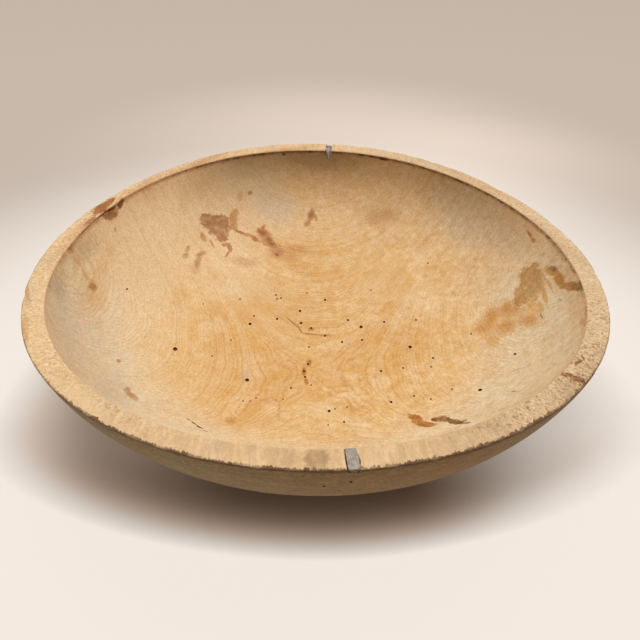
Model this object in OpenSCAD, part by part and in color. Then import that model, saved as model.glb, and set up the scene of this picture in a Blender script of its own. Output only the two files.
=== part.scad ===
// Turned wooden dough bowl. One piece of hardwood, shrunk oval as it dried, with a rim that has
// sunk at the two sides, and with a filled check in the rim at each end of the grain.
// Frame: +Y runs along the grain, +X across it, +Z up. The origin is under the middle of the foot.

/* [Bowl] */
// Outside diameter across the grain, on the level of the rim's two high ends
rim_across = 475; // [420:1:540]
// Outside diameter along the grain, on the same level
rim_along = 490; // [430:1:560]
// Height of the rim at its two high ends
rim_height = 133; // [110:1:165]
// How far the rim has sunk at the two sides
rim_dip = 13; // [2:0.5:16]
// Slope of the rim's top down towards the hollow, at its two high ends, in degrees
rim_slope = 11.5; // [10:0.5:16]
// Thickness of the wall across the top of the rim
rim_wall = 14.5; // [10:0.5:20]
// Thickness of the wood under the middle of the hollow
floor_wall = 19; // [14:0.5:28]
// Diameter of the flat foot, as the mean of both ways
foot_diameter = 210; // [180:1:250]

/* [Turned curve] */
// Lean of the outer wall from upright at the rim, in degrees
outer_rim_lean = 8.5; // [4:0.5:16]
// Lean where the outer shoulder runs into the belly, in degrees
outer_join_lean = 46; // [38:1:52]
// Lean of the belly where it meets the foot, in degrees
foot_lean = 74; // [70:1:80]
// Lean of the inner wall from upright at the rim, in degrees
inner_rim_lean = 12; // [6:0.5:18]
// Lean where the inner wall runs into the dished bottom, in degrees
inner_join_lean = 74; // [68:1:78]

/* [Front rim fill] */
// Width of the front fill at the top of the rim
front_fill_width = 5.6; // [3:0.1:12]
// Width of the front fill at the bottom of its notch
front_fill_foot_width = 4.4; // [2:0.1:10]
// Depth of the front notch below the rim
front_fill_depth = 4.5; // [2:0.1:12]
// How far the front fill lies below the rim
front_fill_recess = 0.4; // [0.1:0.1:1.5]
// Turn of the front notch from the near end of the grain towards +X, in degrees
front_fill_turn = 2.4; // [-10:0.1:10]

/* [Rear rim fill] */
// Width of the rear fill at the top of the rim
rear_fill_width = 7; // [3:0.1:12]
// Width of the rear fill at the bottom of its notch
rear_fill_foot_width = 2.4; // [1:0.1:10]
// Depth of the rear notch below the rim
rear_fill_depth = 9; // [3:0.1:14]
// How far the rear fill lies below the rim
rear_fill_recess = 1.2; // [0.1:0.1:2]
// Turn of the rear notch from the far end of the grain towards +X, in degrees
rear_fill_turn = 5.6; // [-10:0.1:10]

/* [Fit] */
// Gap between a fill and the sides and bottom of its notch
fill_clearance = 0.05; // [0.02:0.01:0.2]

/* [Hidden] */
$fn = 180;

// How far each cut and each blank runs past the surface that it is trimmed at
overrun = 10;

// Turned form before it shrank: radii are the mean of both ways
rim_mean = (rim_across + rim_along) / 2;
rim_r = rim_mean / 2;
foot_r = foot_diameter / 2;
hollow_r = rim_r - rim_wall;
hollow_depth = rim_height - floor_wall;
shrink = [rim_across / rim_mean, rim_along / rim_mean, 1];

// Dish that the top of the rim lies on, with one curve along the grain and a flatter one across it
rim_half_across = rim_across / 2;
rim_half_along = rim_along / 2;
dish_along_r = rim_half_along / sin(rim_slope);
dish_depth = dish_along_r - rim_half_along / tan(rim_slope);
dish_side_rise = dish_depth - rim_dip;
dish_across_r = (rim_half_across * rim_half_across + dish_side_rise * dish_side_rise) / (2 * dish_side_rise);
dish_axis_z = rim_height - dish_depth + dish_across_r;
dish_sides = 720;

// Height of the dish at a place
function dish_z(x, y) =
    let (level_r = dish_across_r - dish_along_r + sqrt(dish_along_r * dish_along_r - y * y))
    dish_axis_z - sqrt(level_r * level_r - x * x);

// Radii of two arcs that follow each other smoothly. A wall on them leans by lean_a at its top,
// lean_b where they join and lean_c at its foot, and it goes in by run while it goes down by drop.
function arc_pair(run, drop, lean_a, lean_b, lean_c) =
    let (
        run_a = cos(lean_a) - cos(lean_b),
        run_b = cos(lean_b) - cos(lean_c),
        drop_a = sin(lean_b) - sin(lean_a),
        drop_b = sin(lean_c) - sin(lean_b),
        spread = run_a * drop_b - run_b * drop_a
    )
    [(run * drop_b - drop * run_b) / spread, (drop * run_a - run * drop_a) / spread];

// Direction from an arc's centre to its wall, where the wall leans by the given angle
function wall_side(lean) = [cos(lean), -sin(lean)];

// Point of an arc at a height
function arc_at(centre, radius, z) = [centre.x + sqrt(radius * radius - (z - centre.y) * (z - centre.y)), z];

// Outer wall, from the rim down to the foot
outer_radii = arc_pair(rim_r - foot_r, rim_height, outer_rim_lean, outer_join_lean, foot_lean);
outer_top = [rim_r, rim_height];
shoulder_centre = outer_top - outer_radii[0] * wall_side(outer_rim_lean);
outer_join = shoulder_centre + outer_radii[0] * wall_side(outer_join_lean);
belly_centre = outer_join - outer_radii[1] * wall_side(outer_join_lean);
outer_foot = [foot_r, 0];

// Inner wall, from the rim down to the middle of the dished bottom
level_lean = 90;
inner_radii = arc_pair(hollow_r, hollow_depth, inner_rim_lean, inner_join_lean, level_lean);
inner_top = [hollow_r, rim_height];
cove_centre = inner_top - inner_radii[0] * wall_side(inner_rim_lean);
inner_join = cove_centre + inner_radii[0] * wall_side(inner_join_lean);
dish_centre = [0, floor_wall + inner_radii[1]];

// The turned form is swept in four quarters, which meet on the diagonals
quarters = 4;
quarter_turn = 360 / quarters;

// Half section between two heights, from the axis out to one arc
module arc_band(centre, radius, low, high) {
    polygon([[0, low.y], low, high, [0, high.y]]);
    intersection() {
        translate(centre) circle(radius);
        translate([0, low.y]) square([centre.x + radius, high.y - low.y]);
    }
}

// Half section of the solid blank, which runs on past the rim and past the foot
module blank_half() {
    past_rim = arc_at(shoulder_centre, outer_radii[0], rim_height + overrun);
    arc_band(shoulder_centre, outer_radii[0], outer_join, past_rim);
    arc_band(belly_centre, outer_radii[1], outer_foot, outer_join);
    translate([0, -overrun]) square([foot_r, overrun]);
}

// Half section of the hollow, which runs on past the blank
module hollow_half() {
    past_blank = arc_at(cove_centre, inner_radii[0], rim_height + 2 * overrun);
    arc_band(cove_centre, inner_radii[0], inner_join, past_blank);
    intersection() {
        translate(dish_centre) circle(inner_radii[1]);
        translate([0, floor_wall - overrun])
            square([inner_join.x + overrun, inner_join.y + overrun - floor_wall]);
    }
}

// Turned cup after it dried oval, still untrimmed at the rim and at the foot
module dried_cup() {
    for (quarter = [1:quarters])
        scale(shrink) rotate_extrude(start = (quarter - 1 / 2) * quarter_turn, angle = quarter_turn)
            difference() {
                blank_half();
                hollow_half();
            }
}

// Everything above the flat foot
module above_foot() {
    linear_extrude(rim_height + overrun) square(2 * rim_mean, center = true);
}

// What is turned off above the rim, down to the dish. It is swept about an axis high above the bowl.
module rim_dish() {
    sweep = 2 * asin(rim_half_across / dish_across_r);
    low_x = dish_across_r - dish_depth - 2 * overrun;
    translate([0, 0, dish_axis_z]) rotate([-90, 0, 0])
        rotate_extrude(start = 90 - sweep, angle = 2 * sweep, $fn = dish_sides)
            intersection() {
                translate([dish_across_r - dish_along_r, 0]) circle(dish_along_r, $fn = dish_sides);
                translate([low_x, -rim_half_along - overrun])
                    square([dish_across_r + overrun - low_x, rim_along + 2 * overrun]);
            }
}

// Bar across the wall of the rim at the +Y end, narrower at its bottom. It slopes as the rim does,
// and its heights are counted from the rim. gap shrinks it for a fill.
module notch(width, foot_width, depth, turn, top_z, gap) {
    foot_z = gap - depth;
    foot_half = foot_width / 2 - gap;
    top_half = foot_half + (width - foot_width) / 2 * (top_z - foot_z) / depth;
    end_x = rim_half_along * sin(turn);
    end_y = rim_half_along * cos(turn);
    translate([end_x, end_y, dish_z(end_x, end_y)]) rotate([90 + rim_slope, 0, -turn])
        translate([0, 0, -overrun]) linear_extrude(rim_half_along / 2)
            polygon([[-foot_half, foot_z], [foot_half, foot_z], [top_half, top_z], [-top_half, top_z]]);
}

// The same bar at the front
module front_notch(top_z, gap) {
    mirror([0, 1, 0])
        notch(front_fill_width, front_fill_foot_width, front_fill_depth, front_fill_turn, top_z, gap);
}

// The same bar at the rear
module rear_notch(top_z, gap) {
    notch(rear_fill_width, rear_fill_foot_width, rear_fill_depth, rear_fill_turn, top_z, gap);
}

module bowl_body() {
    color("burlywood")
        difference() {
            intersection() {
                dried_cup();
                above_foot();
            }
            rim_dish();
            front_notch(overrun, 0);
            rear_notch(overrun, 0);
        }
}

module front_rim_fill() {
    color("darkgray")
        intersection() {
            dried_cup();
            front_notch(-front_fill_recess, fill_clearance);
        }
}

module rear_rim_fill() {
    color("lightgray")
        intersection() {
            dried_cup();
            rear_notch(-rear_fill_recess, fill_clearance);
        }
}

bowl_body();
front_rim_fill();
rear_rim_fill();
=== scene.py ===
"""Looks of a worn, turned dough bowl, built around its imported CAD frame.

The bowl is turned from a half section, dried out of round with a lattice, chipped along its rim,
notched for two grey fills and pierced by worm holes. Its marks lie where the photograph shows them:
each is given by a pixel of the 640 by 640 image, and a line of sight carries it onto the bowl.
"""

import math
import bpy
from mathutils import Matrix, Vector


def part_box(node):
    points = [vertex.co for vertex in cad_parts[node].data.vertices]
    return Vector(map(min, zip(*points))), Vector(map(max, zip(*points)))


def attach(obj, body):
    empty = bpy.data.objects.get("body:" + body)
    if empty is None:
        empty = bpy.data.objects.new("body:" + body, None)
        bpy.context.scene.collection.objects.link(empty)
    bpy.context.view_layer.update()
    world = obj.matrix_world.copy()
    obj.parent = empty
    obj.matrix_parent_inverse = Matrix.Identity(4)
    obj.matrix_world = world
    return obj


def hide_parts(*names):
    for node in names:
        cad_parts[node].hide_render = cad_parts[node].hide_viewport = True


bl_info = {
    "name": "Dough Bowl",
    "version": (1, 0, 0),
    "blender": (4, 5, 0),
    "location": "3D View > Sidebar > Dough Bowl",
    "description": "Builds a worn, turned wooden dough bowl with two filled checks in its rim",
    "category": "Object",
}

from types import SimpleNamespace

import bpy
from bpy.props import FloatProperty, FloatVectorProperty, IntProperty, PointerProperty
from mathutils import Matrix, Vector

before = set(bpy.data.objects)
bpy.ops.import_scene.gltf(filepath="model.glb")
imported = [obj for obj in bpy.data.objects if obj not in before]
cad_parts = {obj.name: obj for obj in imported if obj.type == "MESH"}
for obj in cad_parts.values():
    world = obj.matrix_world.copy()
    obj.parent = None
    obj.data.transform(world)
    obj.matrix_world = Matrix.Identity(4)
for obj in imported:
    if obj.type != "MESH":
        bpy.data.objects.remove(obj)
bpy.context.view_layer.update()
BOWL_LOW, BOWL_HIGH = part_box("bowl_body")

IMAGE_SIDE = 640
SENSOR = 36
MM = 0.001

# CAD node of the fill at each end of the grain
FILL_NODES = {"front": "front_rim_fill", "rear": "rear_rim_fill"}

# Steps along the half section, and radii of the rings under the foot as shares of its radius
SHOULDER_STEPS, BELLY_STEPS, COVE_STEPS, DISH_STEPS = 17, 19, 26, 18
TOP_STEPS, CORNER_STEPS = 10, 5
FOOT_SHARES = (0, 0.15, 0.4, 0.7, 0.9, 0.98)

# Lattice that dries the bowl: its size as a share of the bowl's, and its points each way
CAGE_SHARE = 1.04
CAGE_POINTS = {"u": 13, "v": 2, "w": 5}
# How much farther than its own lean the sunk wall leans in
LEAN_FACTOR = 1.12

# Height above the foot over which the waves begin
WAVES_START = 30 * MM
# Thin place of the rim: its fade around the bowl and down the wall, and how far up an outer face has to
# look to move with it
THIN_FAR, THIN_NEAR = math.radians(48), math.radians(12)
THIN_LOW, THIN_HIGH, THIN_UP = 60 * MM, 5 * MM, 0.45
# Chips: their fade in from the edge, and the levels of the noise between which they begin
CHIPS_NEAR, CHIPS_FAR = 0.6 * MM, 3 * MM
CHIP_LEVELS = (0.5, 0.8)

# How far a mark reaches into the wood at least
MARK_DEPTH = 0.015

# Borders between the materials of the inside: of the left and of the right part across the grain,
# and towards the front part along it
LEFT_BORDER, RIGHT_BORDER = -0.155, 0.11
FRONT_BORDER, RIGHT_FRONT_BORDER = -0.06, -0.12
# Top of the rim: least upward part of its normals, and how deep it goes
RIM_UP, RIM_DEPTH = 0.2, 5 * MM
# A face lies outside if it looks away from the point of the axis that is this far above it
OUTSIDE_DROP = 0.03

# Pith of the tree: its place level with the middle of the bowl, and its lean along the grain
PITH_X, PITH_X_LEAN = 0.0013, 0.017
PITH_Z, PITH_Z_LEAN = 0.201, -0.138
RINGS_PER_METRE = 1250
RING_WOBBLE = 0.006

# Widths of a worm hole, each way, as shares of the width that is listed, and scale of its pin's depth
HOLE_SCALE = (1.1, 1.6)
HOLE_DEPTH = 0.8 * MM
SPLIT_DEPTH = 3 * MM

# A fill before it is trimmed: its length, cuts each way, lumps and worn edges. Height of its notch's tool.
BAR_LENGTH = 34 * MM
BAR_CUTS = 9
BAR_LUMPS, BAR_LUMP_SIZE = 0.9 * MM, 4 * MM
BAR_EDGE = 0.5 * MM
NOTCH_HEIGHT = 12 * MM
# Where the lobe bulges, across and along the bar, and where the bar gets thin and low towards its end
LOBE_SIDE, LOBE_FROM, LOBE_TO = 0.29, -5 * MM, 1 * MM
THIN_END, LOW_END = 5 * MM, 3 * MM
# Least upward part of the normals on top of a fill
FILL_UP = 0.7

# Edges that turn more sharply than this stay sharp
WOOD_CREASE, FILL_CREASE = math.radians(40), math.radians(50)

# The bowl's shadow on the floor: a rounded box with its middle, half width, half straight length,
# rounded end and squareness, and where in it the light begins and how far that takes
SHADOW_MIDDLE, SHADOW_HALF_WIDTH = 0.007, 0.325
SHADOW_STRAIGHT, SHADOW_END = 0.097, 0.1385
SHADOW_SQUARE = 1.78
SHADOW_START, SHADOW_SPREAD = 0.506, 0.407
# Lit places of the floor behind the bowl
LIT_BEHIND, LIT_BESIDE = (0.08, 0.75, 0), (0.38, 0.6, 0)

# How far a texture moves red, green and blue, so that they move alike on the screen
FIGURE = (0.31, 0.46, 0.75)
OUTSIDE_FIGURE = (0.8, 0.85, 0.95)

# Colours that only darken what they lie on
TINTS = ("amber", "stain", "rust", "soot", "shade", "floor_shade")


def srgb(*levels):
    """Linear colour of an 8-bit screen colour."""
    shares = (level / 255 for level in levels)
    return tuple(s / 12.92 if s <= 0.04045 else ((s + 0.055) / 1.055) ** 2.4 for s in shares)


def length(name, description, default):
    """Property for a length in metres."""
    return FloatProperty(
        name=name, description=description, default=default, min=0, unit="LENGTH", precision=4
    )


def angle(name, description, degrees):
    """Property for an angle, from its degrees."""
    return FloatProperty(
        name=name, description=description, default=math.radians(degrees), subtype="ANGLE"
    )


def amount(name, description, default, unit="NONE"):
    """Property for any other number."""
    return FloatProperty(name=name, description=description, default=default, unit=unit)


def place(name, description, default):
    """Property for a place in metres."""
    return FloatVectorProperty(name=name, description=description, default=default, unit="LENGTH")


def colour(name, description, *levels):
    """Property for a colour, from its 8-bit screen levels."""
    return FloatVectorProperty(
        name=name, description=description, default=srgb(*levels), size=3, min=0, max=1, subtype="COLOR"
    )


class DoughBowlSizes(bpy.types.PropertyGroup):
    """Sizes of the bowl, the same as in the part's source, and of its wear"""

    rim_across: length("Rim across", "Outside diameter across the grain, level with the high ends", 0.475)
    rim_along: length("Rim along", "Outside diameter along the grain", BOWL_HIGH.y - BOWL_LOW.y)
    rim_height: length("Rim height", "Height of the rim at its two high ends", BOWL_HIGH.z)
    rim_dip: length("Rim dip", "How far the rim has sunk at its two sides", 0.013)
    rim_slope: angle("Rim slope", "Slope of the rim's top down towards the hollow", 11.5)
    rim_wall: length("Rim wall", "Thickness of the wall, level with the outer edge of the rim", 0.0145)
    floor_wall: length("Floor wall", "Thickness of the wood under the middle of the hollow", 0.019)
    foot_diameter: length("Foot", "Diameter of the flat foot", 0.21)
    outer_rim_lean: angle("Outer rim lean", "Lean of the outer wall at the rim", 8.5)
    outer_join_lean: angle("Outer join lean", "Lean where the shoulder runs into the belly", 46)
    foot_lean: angle("Foot lean", "Lean of the belly where it meets the foot", 74)
    inner_rim_lean: angle("Inner rim lean", "Lean of the inner wall at the rim", 12)
    inner_join_lean: angle("Inner join lean", "Lean where the inner wall runs into the dished bottom", 74)
    outer_edge: length("Outer edge", "How far the rim's outer edge is worn round", 0.0014)
    inner_edge: length("Inner edge", "How far the rim's inner edge is worn round", 0.0012)
    waves: length("Waves", "Height of the shallow waves in the walls", 0.0012)
    thin_rim: length("Thin rim", "How far the rim is worn thinner at the rear left", 0.004)
    thin_turn: angle("Thin place", "Turn of that place from +X", 132)
    chips: length("Chips", "Depth of the chips along the outer edge of the rim", 0.0009)
    turns: IntProperty(
        name="Turning steps", description="Faces around the bowl", default=640, min=64, max=720
    )


# Sizes of a fill as it is cast: what each one is, and its value for the front and for the rear fill
FILL_SIZES = {
    "width": ("Width at the top", 0.006, 0.007),
    "foot_width": ("Width at the bottom", 0.0044, 0.0024),
    "depth": ("Depth of the notch below the rim", 0.0045, 0.009),
    "recess": ("How far the fill lies below the rim", 0.0004, 0.0012),
    "lobe": ("How far the middle of the fill bulges to one side", 0.0012, 0),
    "end_height": ("Height of the fill at its outer end", 0.00123, 0.00624),
    "end_drop": ("How far the fill is worn down at its outer end", 0.0003, 0.0016),
    "gap": ("Gap between the fill and its notch", 0.0003, 0.0005),
    "shift": ("How far the notch lies off to the left", 0.0005, 0.0003),
    "core_shift": ("How far the bright core of the fill lies off to the left", 0, 0.0014),
    "core_half": ("Half width of the bright core", 0.0025, 0.0009),
    "core_edge": ("Width over which the core goes dark", 0.0009, 0.0009),
}


class DoughBowlFills(bpy.types.PropertyGroup):
    """Sizes of the two fills as they are cast into the rim"""

    __annotations__ = {
        f"{end}_{size}": length(f"{end} {size}".replace("_", " ").capitalize(), text, value)
        for size, (text, *values) in FILL_SIZES.items()
        for end, value in zip(FILL_NODES, values)
    }


class DoughBowlColours(bpy.types.PropertyGroup):
    """Colours of the wood, the stains, the fills and the floor"""

    honey: colour("Honey wood", "Oiled wood of the bottom", 232, 182, 112)
    pale: colour("Pale wood", "Dry wood of the inner wall", 242, 206, 156)
    glow: colour("Orange wood", "Warm patches in the bottom", 222, 164, 90)
    bleach: colour("Bleached wood", "Washed-out wood along the near walls", 236, 217, 182)
    ash: colour("Ash wood", "Greyed wood along the near left wall", 210, 186, 156)
    grey: colour("Grey wood", "Greyed wood high on the wall", 206, 184, 158)
    # Shade darkens stains and grey patches, and is also painted shade high on the back wall and along the
    # left inner edge
    shade: colour("Wall shade", "Tint of the dirt high on the back wall", 188, 181, 170)
    stain: colour("Brown stain", "Tint that an old stain lays over the wood", 183, 142, 103)
    rust: colour("Rust stain", "Tint of the orange stains", 202, 150, 76)
    amber: colour("Amber stain", "Tint of the oil stains", 230, 178, 44)
    # Soot also paints a thin line of shade a little below the inner edge, and with dirt darkens the rim's
    # outer edge, where part of the dark is painted shade
    soot: colour("Dark stain", "Tint of the darkest specks and torn edges", 132, 98, 66)
    rim: colour("Rim wood", "Bare wood on top of the rim", 254, 214, 162)
    rim_shade: colour("Rim streaks", "Darker streaks across the rim", 232, 188, 136)
    # Dirt also lays a narrow band of painted shade just under the rim's outer edge, and darkens the rim's
    # outer edge together with soot
    dirt: colour("Dirt", "Dirt in chips, pores and checks", 98, 66, 38)
    outside: colour("Outside wood", "Darkened wood of the outer wall", 165, 137, 91)
    outside_warm: colour("Warm outside wood", "Wood of the outer wall towards the right", 157, 117, 61)
    bore: colour("Bore", "Inside of the worm holes", 112, 62, 12)
    front_fill: colour("Front fill", "Grey of the front fill", 186, 174, 158)
    rear_fill: colour("Rear fill", "Grey of the rear fill", 200, 196, 186)
    floor: colour("Floor", "Pale floor and backdrop", 232, 220, 208)
    floor_shade: colour("Floor shade", "Tint of the floor close under the bowl", 190, 170, 150)
    backdrop: colour("Backdrop", "What the camera sees of the floor around the bowl", 249, 238, 228)
    backdrop_far: colour("Far backdrop", "What the camera sees far behind the bowl", 249, 230, 213)
    shadow: colour("Shadow", "Warm light that is left in the shadow", 249, 219, 195)


class DoughBowlStage(bpy.types.PropertyGroup):
    """Camera, light and floor"""

    camera_place: place("Camera place", "Where the camera stands", (-0.0141, -0.3818, 0.3288))
    camera_pan: angle("Camera pan", "Turn of the camera about the upright", -2.68)
    camera_tilt: angle("Camera tilt", "Tilt of the camera up from straight down", 52.47)
    camera_roll: angle("Camera roll", "Roll of the camera about its line of sight", 0.93)
    camera_lens: amount("Lens", "Focal length on a 36 mm sensor", 27, "CAMERA")
    lamp_place: place("Lamp place", "Where the large soft lamp hangs", (0.25, 0.62, 2.6))
    lamp_width: length("Lamp width", "Width of the lamp", 2.4)
    lamp_depth: length("Lamp depth", "Depth of the lamp", 1.2)
    lamp_power: amount("Lamp power", "Power of the lamp", 52, "POWER")
    ambient: amount("Ambient", "Strength of the light from all around", 0.23)
    backdrop: amount("Backdrop", "Strength of the far backdrop that the camera sees", 0.62)
    floor_side: length("Floor side", "Side of the square floor", 16)


def sizes():
    return bpy.context.scene.dough_bowl_sizes


def fill_sizes(end):
    """Sizes of the fill at that end of the grain, by name."""
    fills = bpy.context.scene.dough_bowl_fills
    return SimpleNamespace(**{size: getattr(fills, f"{end}_{size}") for size in FILL_SIZES})


def stage():
    return bpy.context.scene.dough_bowl_stage


def rgba(name):
    """Colour of that name."""
    return (*getattr(bpy.context.scene.dough_bowl_colours, name), 1)


# Marks on the bowl, by pixel of the image

# Worm holes: pixel, and width in millimetres
WORM_HOLES = (
    (175, 349, 3.4), (247, 380, 3.0), (410, 347, 2.8), (361, 327, 3.0), (329, 411, 2.2), (480, 390, 2.6),
    (250, 324, 2.6), (301, 323, 2.4), (311, 328, 1.8), (325, 336, 1.7), (342, 342, 2.0), (362, 340, 2.0),
    (277, 319, 2.2), (254, 316, 1.7), (300, 311, 2.4), (276, 295, 1.6), (281, 298, 1.7), (277, 299, 1.6),
    (307, 293, 1.5), (240, 299, 1.5), (325, 300, 2.3), (348, 320, 2.0), (384, 322, 2.0), (416, 320, 1.7),
    (371, 290, 1.4), (433, 358, 1.7), (403, 368, 1.5), (431, 367, 1.3), (381, 371, 1.9), (471, 334, 1.4),
    (414, 396, 1.5), (391, 402, 2.0), (452, 389, 1.4), (431, 399, 1.3), (515, 354, 1.9), (428, 263, 1.4),
    (309, 347, 1.5), (308, 364, 1.9), (304, 371, 1.8), (305, 377, 1.8), (311, 385, 1.3), (291, 388, 1.7),
    (283, 399, 1.2), (335, 409, 1.2), (347, 407, 1.2), (344, 422, 1.6), (328, 425, 1.2), (203, 304, 1.2),
    (127, 289, 1.6), (324, 486.5, 1.1), (351, 482, 1.4), (339, 491, 1.0), (212, 356, 1.3),
    (231, 340, 1.2), (243, 401, 1.1), (250, 401, 1.1), (256, 398, 1.2),
)

# Splits in the wood: pixels of both ends, and width in millimetres
SPLITS = (
    (186, 418, 191, 421, 1.0), (191, 421, 196, 425, 1.4), (196, 425, 202, 429, 2.0),
    (203, 430, 208, 432, 0.9), (287, 318, 297, 326, 0.5), (297, 326, 302, 333, 0.5),
    (302, 333, 318, 335, 0.5), (318, 335, 333, 335, 0.5), (490, 413.5, 512, 405, 0.6),
    (510, 392, 517, 391, 0.8), (540, 313, 543, 320, 0.7),
)

# Wide tones inside: colour, strength, softness of the edge, and ovals, each with its pixel,
# half width, half height and clockwise turn in degrees
TONES = (
    ("grey", 0.5, 0.7, ((80, 340, 26, 50, -12), (275, 205, 24, 16, 20), (470, 215, 54, 28, 30))),
    ("ash", 0.65, 0.7, ((56, 322, 15, 48, -10), (74, 366, 15, 22, -35), (108, 388, 22, 14, 40))),
    ("pale", 0.6, 0.8, (
        (222, 262, 34, 18, 15), (140, 300, 28, 30, 0), (425, 300, 32, 16, -15), (238, 288, 40, 14, 8),
    )),
    ("glow", 0.5, 0.8, (
        (272, 362, 70, 40, 0), (390, 345, 60, 24, -10), (250, 420, 40, 10, 5), (320, 250, 50, 14, 0),
        (96, 290, 10, 22, 10),
    )),
)

# Stains and other marks on each part of the inside, in the same way
BACK_STAINS = (
    ("stain", 0.92, 0.12, (
        (208, 221, 9.5, 7.5, 20), (216, 227, 10, 9, 30), (222.5, 222, 7, 7, 0), (216, 219.5, 6, 5, 0),
        (222, 234, 8, 7.5, 60),
    )),
    ("rust", 0.72, 0.4, (
        (233.5, 217, 4.4, 8.5, 12), (234.5, 225, 3, 6, 0), (231, 226, 3.5, 4, 0),
        (311, 215, 3.2, 6.5, 15), (307.5, 223, 3, 4.5, 30), (315.5, 217, 1.4, 4, -15),
        (203, 237, 2.6, 5, -25), (212, 243.5, 1, 5, -30), (198, 261, 2.8, 6, 15),
        (201, 254, 5.5, 2, -20), (187.5, 249, 2.4, 4, 20), (185.5, 255.5, 3.2, 2.8, 0),
    )),
    ("rust", 0.9, 0.25, (
        (240, 232.2, 5.5, 1.5, 20), (248, 235, 5.5, 1.7, 18), (255, 239, 5, 2.4, 35),
        (226, 244.5, 4.5, 1.6, -10), (230, 248, 2.2, 4.5, -10), (227.5, 254, 1.1, 4, 35),
    )),
    ("rust", 0.55, 0.45, ((275.5, 249, 8, 7, 45),)),
    ("rust", 0.9, 0.32, (
        (266.5, 238.5, 11.5, 5.8, 54), (263, 227.5, 4, 1.6, -50), (259, 231, 3, 2.6, 30),
    )),
    ("stain", 0.45, 0.4, ((263, 234, 6, 2.4, 48), (269, 240, 6, 2.2, 50), (311, 215, 3, 6, 15))),
    ("rust", 0.4, 0.6, (
        (284, 255, 14, 6, 10), (298, 249, 14, 4.5, 10), (196, 268, 4, 6, 10), (244, 262, 14, 4, 10),
        (240, 196, 3, 4, 20), (380, 218, 14, 8, -10),
    )),
    ("soot", 0.65, 0.3, ((250.3, 192.6, 2.2, 2.2, 0), (277, 254.5, 1.4, 1.4, 0))),
    ("soot", 0.9, 0.4, (
        (383, 159, 5, 1.6, 12), (361, 154.5, 3, 1.2, 8), (372, 156.6, 4, 0.9, 10),
        (284, 154.5, 2, 1.2, 0),
    )),
    ("shade", 0.4, 0.7, ((322, 160, 30, 10, 0),)),
    ("rust", 0.2, 0.8, ((176, 202, 28, 12, -35),)),
    ("shade", 0.2, 0.8, ((404, 214, 40, 11, 5),)),
    ("glow", 0.35, 0.8, ((382, 278, 34, 22, 0), (295, 312, 26, 18, 0), (262, 300, 22, 20, 0))),
    ("rust", 0.8, 0.4, ((309, 363, 2.2, 3.5, 10), (304, 372, 2.2, 4, 0), (311, 329, 3, 2.2, 0))),
    ("rust", 0.55, 0.4, (
        (292, 322, 8, 0.9, 39), (300, 329, 1, 5, -30), (311, 334.2, 8, 0.9, 5), (325, 335.4, 8, 1.4, 2),
    )),
)
LEFT_STAINS = (
    ("stain", 0.9, 0.15, (
        (110.5, 213.5, 8, 6.5, -20), (120.5, 203.5, 2.4, 5.5, 25), (104, 211, 5, 4, -40),
    )),
    ("soot", 0.55, 0.35, (
        (111, 216, 6.5, 3, -20), (120.5, 204, 2.6, 6, 25), (115.3, 229.5, 1.2, 2.2, -15),
    )),
    ("soot", 0.85, 0.35, ((101, 215, 12, 1.2, -36), (112, 208.5, 6, 1.4, -33), (84, 230, 9, 0.9, -43))),
    ("soot", 0.3, 0.6, ((70, 247.5, 3, 4.5, -30), (93, 287, 2.6, 2.4, 0))),
    ("amber", 0.46, 0.5, (
        (70, 249, 3.4, 6, -25), (78, 262, 2, 9, -31), (86, 276, 1.8, 8, -30), (92, 286, 4, 6, -20),
    )),
    ("shade", 0.4, 0.5, ((70, 248, 4, 5.5, -30), (93, 287, 4, 3.6, 0))),
    ("amber", 0.2, 0.8, (
        (104, 268, 5, 7, 20), (110, 255, 6, 9, 20), (91, 300, 5, 10, 12), (82, 302, 8, 12, 0),
        (100, 325, 4, 10, 10), (112, 345, 4, 8, -10),
    )),
    # Painted shade: the wall darkens along the left inner edge, under the rim
    ("shade", 0.4, 0.8, ((50, 318, 8, 44, -8), (59, 286, 7, 20, 15), (84, 250, 9, 16, 40))),
)
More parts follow.
